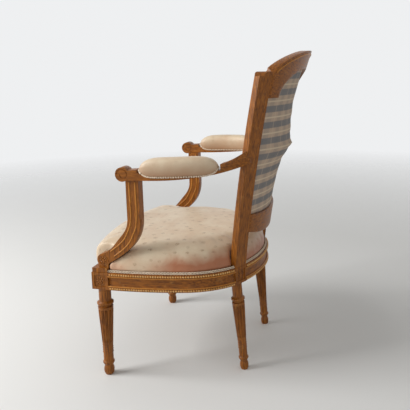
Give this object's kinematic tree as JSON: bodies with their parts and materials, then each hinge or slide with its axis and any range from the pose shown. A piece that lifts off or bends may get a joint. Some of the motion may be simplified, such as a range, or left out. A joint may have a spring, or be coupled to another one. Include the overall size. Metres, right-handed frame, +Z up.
{
  "type": "open armchair",
  "caption": "Louis XVI style open armchair: carved wood frame with fluted tapered legs, scrolled arms on swept supports, hollow arched back, and stuffed seat, back and arm pads.",
  "frame": {"origin": "on the floor, at the middle of the chair's bounding box", "axes": "+Z up; +X to the sitter's left; -Y the way the sitter faces, so the back is on the +Y side"},
  "size_m": [0.5758, 0.642, 0.938],
  "materials": {
    "frame_wood": "worn wax, golden brown",
    "inner_wood": "bare beech",
    "webbing": "woven jute",
    "burlap": "woven jute",
    "stuffing": "matted hair",
    "satin": "worn satin with woven sprigs",
    "plaid": "plaid cotton",
    "gimp": "woven braid"
  },
  "bodies": {
    "root": {"front_left_leg": "frame_wood", "front_right_leg": "frame_wood", "rear_left_post": "frame_wood", "rear_right_post": "frame_wood", "front_seat_rail": "frame_wood", "left_seat_rail": "frame_wood", "right_seat_rail": "frame_wood", "rear_seat_rail": "frame_wood", "crest_rail": "frame_wood", "lower_back_rail": "frame_wood", "left_arm": "frame_wood", "right_arm": "frame_wood", "left_arm_support": "frame_wood", "right_arm_support": "frame_wood", "front_left_corner_block": "inner_wood", "front_right_corner_block": "inner_wood", "rear_left_corner_block": "inner_wood", "rear_right_corner_block": "inner_wood", "joint_pegs": "inner_wood", "seat_webbing": "webbing", "back_webbing": "webbing", "seat_burlap": "burlap", "back_burlap": "burlap", "seat_stuffing": "stuffing", "back_stuffing": "stuffing", "left_arm_pad_stuffing": "stuffing", "right_arm_pad_stuffing": "stuffing", "seat_cover": "satin", "inside_back_cover": "satin", "left_arm_pad_cover": "satin", "right_arm_pad_cover": "satin", "outside_back_cover": "plaid", "seat_gimp": "gimp", "back_gimp": "gimp", "left_arm_pad_gimp": "gimp", "right_arm_pad_gimp": "gimp"}
  },
  "joints": []
}
